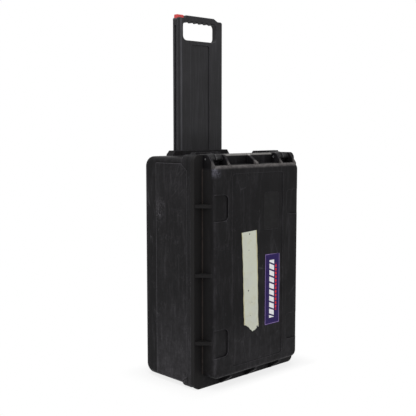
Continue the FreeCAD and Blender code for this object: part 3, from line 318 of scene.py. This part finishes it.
# Pull handle: a wide satin slab in a slightly paler grey, drawn in and out so
# often that fine lines run down it.
handle_plastic, kit, shader, place, (x, y, z) = start_finish("handle_plastic")
rubbed = kit.make("Mapping", None, {0: place, 3: (1.0, 1.0, 0.035)})
lines = kit.make("TexNoise", None, {"Vector": rubbed, "Scale": 320.0, "Detail": 4.0, "Roughness": 0.6})
cloud = kit.make("TexNoise", None, {"Vector": place, "Scale": 9.0, "Detail": 6.0, "Roughness": 0.6})
skin = kit.make("TexNoise", None, {"Vector": place, "Scale": 800.0, "Detail": 2.0})
slide_wear = (lines.between(0.5, 0.72) * 0.16 + cloud.between(0.35, 0.75) * 0.12
              + bare_edges(kit, 0.0018) * 0.5).clamp()
handle_colour = slide_wear.blend((0.0135, 0.0130, 0.0143), (0.085, 0.085, 0.095))
end_finish(kit, shader, handle_colour, 0.44 + cloud * 0.14, skin * 0.5 + lines * 0.5, 0.2, 0.0003)
shader.inputs["Specular IOR Level"].default_value = 0.15
dress(["trolley_handle"], handle_plastic)

# Release button: bright red, gently domed plastic, dulled by thumbs.
button_red, kit, shader, place, (x, y, z) = start_finish("release_red")
thumbed = kit.make("TexNoise", None, {"Vector": place, "Scale": 120.0, "Detail": 5.0})
end_finish(kit, shader, thumbed.between(0.4, 0.75).blend((0.52, 0.022, 0.02), (0.36, 0.02, 0.018)),
           0.25 + thumbed * 0.2, thumbed, 0.1, 0.0002)
shader.inputs["Coat Weight"].default_value = 0.3
dress(["release_button"], button_red)

# Soft sleeve of the side handle: moulded rubber with ribs to hold on to.
sleeve_rubber, kit, shader, place, (x, y, z) = start_finish("sleeve_rubber")
ribs = (z * 1250.0).sine()
chalk = kit.make("TexNoise", None, {"Vector": place, "Scale": 110.0, "Detail": 5.0})
end_finish(kit, shader, chalk.between(0.45, 0.75).blend((0.008, 0.008, 0.008), (0.03, 0.029, 0.029)),
           0.75 + chalk * 0.15, ribs.between(-0.4, 0.6) + chalk * 0.2, 0.5, 0.0006)
shader.inputs["Specular IOR Level"].default_value = 0.25
dress(["side_handle_grip"], sleeve_rubber)

# Wheels: hard rubber tyres, dusty on the tread, on black spoked hubs.
tyre_rubber, kit, shader, place, (x, y, z) = start_finish("tyre_rubber")
grit = kit.make("TexNoise", None, {"Vector": place, "Scale": 240.0, "Detail": 7.0, "Roughness": 0.7})
axle_y, axle_z = 0.0905, 0.024
off_axle = ((y - axle_y) * (y - axle_y) + (z - axle_z) * (z - axle_z)).root()
tread = off_axle.between(0.0205, 0.0235)
end_finish(kit, shader, (tread * grit.between(0.3, 0.65) * 0.6 + grit.between(0.55, 0.8) * 0.2).clamp().blend(
    (0.010, 0.010, 0.010), (0.085, 0.080, 0.073)), 0.72 + grit * 0.15, grit, 0.35, 0.0006)
shader.inputs["Specular IOR Level"].default_value = 0.25
dress(["wheel_tyre_left", "wheel_tyre_right"], tyre_rubber)
dress(["wheel_hub_left", "wheel_hub_right"], latch_plastic)

# Strip of tape: two-inch cloth tape stuck down the lid, cut ragged at the
# top, torn at the bottom, creased and yellowed at its edges.
tape_face = -0.1133
tape_top_left, tape_top_right = (-0.0579, 0.3708), (-0.0056, 0.3733)
tape_foot_left, tape_foot_right = (-0.0466, 0.1440), (0.0046, 0.1318)
tape_marks = ((-0.0306, 0.3656, 0.0024), (-0.0322, 0.3262, 0.0015), (-0.0331, 0.2267, 0.0026),
              (-0.0206, 0.1963, 0.0015), (-0.0264, 0.1637, 0.0014), (-0.0013, 0.1320, 0.0034))


def finish_mesh(bm, name):
    mesh = bpy.data.meshes.new(name)
    bm.to_mesh(mesh)
    bm.free()
    piece = bpy.data.objects.new(name, mesh)
    bpy.context.scene.collection.objects.link(piece)
    return piece


rand = random.Random(7)
bm = bmesh.new()
bmesh.ops.create_grid(bm, x_segments=14, y_segments=60, size=0.5)
torn = [rand.uniform(-0.0016, 0.0016) for _ in range(40)]
for vert in bm.verts:
    across, along = vert.co.x + 0.5, 0.5 - vert.co.y
    left = Vector(tape_top_left).lerp(Vector(tape_foot_left), along)
    right = Vector(tape_top_right).lerp(Vector(tape_foot_right), along)
    spot = left.lerp(right, across)
    bow = 0.0012 * math.sin(along * 5.2) + 0.0004 * math.sin(along * 41.0)
    ragged = torn[int(across * 14)] * max(0.0, along - 0.985) / 0.015
    point = -0.0135 * max(0.0, 1 - abs(across - 0.58) / 0.42) * max(0.0, along - 0.93) / 0.07
    lift = 0.00025 + 0.00012 * math.sin(along * 23.0 + across * 3.0)
    vert.co = Vector((spot.x + bow, tape_face - lift, spot.y + ragged + point))
bmesh.ops.recalc_face_normals(bm, faces=bm.faces)
tape = finish_mesh(bm, "tape_strip")
body_of_tape = tape.modifiers.new("thickness", "SOLIDIFY")
body_of_tape.thickness = 0.00022
body_of_tape.offset = 0.0
tape_cloth, kit, shader, place, (x, y, z) = start_finish("tape_cloth")
fade = kit.make("TexNoise", None, {"Vector": place, "Scale": 26.0, "Detail": 6.0, "Roughness": 0.6})
crease = kit.make("TexNoise", None, {"Vector": place, "Scale": 75.0, "Detail": 7.0, "Roughness": 0.75})
weave = (x * 5200.0).sine() * (z * 4300.0).sine()
midline = x + 0.0518 * 0.5 + (z - 0.25) * 0.047
edge = midline.size().between(0.0222, 0.0258)
speck = 0.0
for mark_x, mark_z, mark_size in tape_marks:
    away_x, away_z = x - mark_x, z - mark_z
    far = (away_x * away_x + away_z * away_z).root()
    speck = (1 - far.between(mark_size * 0.5, mark_size)) + speck
speck = (speck * crease.between(0.3, 0.42)).clamp()
aged = (edge * 0.85 + crease.between(0.5, 0.7) * 0.4).clamp()
tape_colour = aged.blend((0.52, 0.535, 0.45), (0.44, 0.40, 0.22))
tape_colour = (fade.between(0.45, 0.75) * 0.35).blend(tape_colour, (0.44, 0.46, 0.47))
tape_colour = speck.blend(tape_colour, (0.05, 0.05, 0.055))
end_finish(kit, shader, tape_colour, 0.55 + crease * 0.2, crease * 0.8 + weave * 0.1, 0.5, 0.0007)
shader.inputs["Specular IOR Level"].default_value = 0.25
tape.data.materials.append(tape_cloth)
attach(tape, "lid")

# Purple sticker: a glossy printed label with a pale border. Its print here is
# a plain pattern of slanted white bars beside a red one.
label_left, label_right = 0.0264, 0.0806
label_foot, label_head = 0.1295, 0.3095
bm = bmesh.new()
bmesh.ops.create_grid(bm, x_segments=3, y_segments=10, size=0.5)
for vert in bm.verts:
    slope = -0.0025 * (vert.co.x + 0.5) * (vert.co.y + 0.5)
    vert.co = Vector((label_left + (vert.co.x + 0.5) * (label_right - label_left), tape_face - 0.00018,
                      label_foot + (vert.co.y + 0.5) * (label_head - label_foot) + slope))
bmesh.ops.bevel(bm, geom=[v for v in bm.verts if len(v.link_edges) == 2], offset=0.0016, segments=3,
                profile=0.5, affect="VERTICES", material=-1)
bmesh.ops.recalc_face_normals(bm, faces=bm.faces)
label = finish_mesh(bm, "side_label")
thickness = label.modifiers.new("thickness", "SOLIDIFY")
thickness.thickness = 0.00016
thickness.offset = 0.0
label_print, kit, shader, place, (x, y, z) = start_finish("label_print")
across = (x - label_left) / (label_right - label_left)
along = (z - label_foot) / (label_head - label_foot)
off_middle, off_centre = (across - 0.5).size(), (along - 0.5).size()
border = off_middle.between(0.455, 0.462).larger(off_centre.between(0.486, 0.4885))
margin = off_middle.between(0.482, 0.485).larger(off_centre.between(0.4935, 0.4945))
border = border * (1 - margin)
band = (1 - (across - 0.46).size().between(0.155, 0.165)) * (1 - off_centre.between(0.405, 0.41))
teeth = (along * 11.0 + across * 1.3).fraction()
bars = band * (1 - (teeth - 0.5).size().between(0.36, 0.38))
red_row = (1 - (across - 0.745).size().between(0.045, 0.052)) * (1 - (along - 0.52).size().between(0.33, 0.335))
dots = (along * 19.0).fraction()
red_row = red_row * (1 - (dots - 0.5).size().between(0.33, 0.36))
rubbed = kit.make("TexNoise", None, {"Vector": place, "Scale": 130.0, "Detail": 6.0, "Roughness": 0.7})
ink = rubbed.between(0.3, 0.8).blend((0.0135, 0.0042, 0.066), (0.024, 0.0125, 0.085))
ink = bars.blend(ink, (0.74, 0.74, 0.76))
ink = red_row.blend(ink, (0.56, 0.018, 0.022))
ink = border.blend(ink, (0.24, 0.17, 0.36))
end_finish(kit, shader, ink, 0.3 + rubbed * 0.25, rubbed, 0.08, 0.0002)
shader.inputs["Specular IOR Level"].default_value = 0.1
label.data.materials.append(label_print)
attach(label, "lid")

# Badge plate: a thin smooth plate in the lid's small recess, left bare.
badge_x, badge_z, badge_wide, badge_high = 0.049, 0.417, 0.0490, 0.0910
bm = bmesh.new()
bmesh.ops.create_cube(bm, size=1.0)
bmesh.ops.scale(bm, vec=(badge_wide, 0.0010, badge_high), verts=bm.verts)
bmesh.ops.bevel(bm, geom=[e for e in bm.edges if abs(e.verts[0].co.y - e.verts[1].co.y) > 0.0005], offset=0.0036,
                segments=5, profile=0.5, affect="EDGES", material=-1)
bmesh.ops.bevel(bm, geom=[e for e in bm.edges if e.verts[0].co.y < 0 and e.verts[1].co.y < 0],
                offset=0.0003, segments=2, profile=0.5, affect="EDGES", material=-1)
bmesh.ops.translate(bm, vec=(badge_x, -0.1125, badge_z), verts=bm.verts)
bmesh.ops.recalc_face_normals(bm, faces=bm.faces)
badge = finish_mesh(bm, "badge_plate")
badge_film, kit, shader, place, axes = start_finish("badge_film")
haze = kit.make("TexNoise", None, {"Vector": place, "Scale": 70.0, "Detail": 6.0, "Roughness": 0.65})
end_finish(kit, shader, haze.between(0.4, 0.75).blend((0.0045, 0.0042, 0.0047), (0.0100, 0.0096, 0.0102)),
           0.33 + haze * 0.2, haze, 0.1, 0.0002)
shader.inputs["Specular IOR Level"].default_value = 0.1
badge.data.materials.append(badge_film)
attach(badge, "lid")

# Floor: a plain pale sheet under the case that runs out to white, and keeps
# the soft shadow at its foot.


def seen_or_mirrored(kit):
    """1 for rays from the camera, mirrors and clear pieces, 0 for light that falls on the case."""
    mirrored = kit.make("LightPath", output=3)
    cleared = kit.make("LightPath", output=6)
    return kit.make("LightPath").larger(mirrored).larger(cleared)


bm = bmesh.new()
bmesh.ops.create_circle(bm, cap_ends=True, segments=96, radius=14.0)
floor = finish_mesh(bm, "studio_floor")
paper, kit, shader, place, (x, y, z) = start_finish("floor_paper")
shader.inputs["Base Color"].default_value = (0.9, 0.9, 0.9, 1.0)
shader.inputs["Roughness"].default_value = 0.85
shader.inputs["Specular IOR Level"].default_value = 0.1
seen = seen_or_mirrored(kit)
# how far a point lies from the case's footprint, counted shorter in front of it
foot_half_wide, foot_half_deep, shadow_reach = 0.18, 0.115, 0.07
beside = (x.size() - foot_half_wide).larger(0.0)
ahead = (y - foot_half_deep).larger((y + foot_half_deep) * -2.5).larger(0.0)
from_foot = (beside * beside + ahead * ahead).root()
away = from_foot.between(0.0, shadow_reach)
glow = kit.make("Emission", None, {"Color": (1, 1, 1, 1), "Strength": 1.0})
mixed = kit.make("MixShader", None, {0: seen * (0.8 + away * 0.2)})
kit.tree.links.new(shader.outputs[0], mixed.socket.node.inputs[1])
kit.tree.links.new(glow.socket, mixed.socket.node.inputs[2])
# past the shadow the sheet is see-through to the eye and to the lamps, so
# that the open lid shows where it hangs below
straight = kit.make("LightPath").larger(kit.make("LightPath", output=1))
cut_away = kit.make("MixShader", None, {0: straight * from_foot.between(shadow_reach, shadow_reach + 0.0005)})
open_sky = kit.make("BsdfTransparent")
kit.tree.links.new(mixed.socket, cut_away.socket.node.inputs[1])
kit.tree.links.new(open_sky.socket, cut_away.socket.node.inputs[2])
kit.tree.links.new(cut_away.socket, paper.node_tree.nodes["Material Output"].inputs["Surface"])
floor.data.materials.append(paper)

# Light: a soft overhead panel, a low one on the lid's side, and a pale sky
# that shows as white behind the case.
sky = bpy.data.worlds.new("studio_sky")
sky.use_nodes = True
bpy.context.scene.world = sky
kit = Shade(sky.node_tree)
seen = seen_or_mirrored(kit)
dim = kit.make("Background", None, {"Color": (1, 1, 1, 1), "Strength": 0.42})
plain = kit.make("Background", None, {"Color": (1, 1, 1, 1), "Strength": 1.0})
both = kit.make("MixShader", None, {0: seen, 1: dim, 2: plain})
sky.node_tree.links.new(both.socket, sky.node_tree.nodes["World Output"].inputs["Surface"])


def panel(name, place, aim, wide, power):
    lamp = bpy.data.lights.new(name, "AREA")
    lamp.shape = "DISK"
    lamp.size = wide
    lamp.energy = power
    holder = bpy.data.objects.new(name, lamp)
    bpy.context.scene.collection.objects.link(holder)
    holder.location = place
    holder.rotation_euler = (Vector(aim) - Vector(place)).to_track_quat("-Z", "Y").to_euler()


panel("panel_above", (-0.5, -0.4, 2.9), (0.0, 0.0, 0.3), 2.2, 52.0)
panel("panel_front", (0.3, -3.0, 1.3), (0.0, 0.0, 0.4), 1.8, 20.0)
panel("panel_left", (-2.8, -0.3, 1.2), (0.0, 0.0, 0.4), 1.6, 20.0)

# Camera: a little above the case and off its left front corner.
eye = bpy.data.cameras.new("camera")
eye.sensor_width = 36.0
eye.lens = 66.69
holder = bpy.data.objects.new("camera", eye)
bpy.context.scene.collection.objects.link(holder)
holder.location = (-1.3779, -1.3843, 0.6199)
holder.rotation_euler = (math.radians(90.0 - 5.891), 0.0, math.radians(-43.565))
bpy.context.scene.camera = holder
bpy.context.scene.view_settings.view_transform = "Standard"
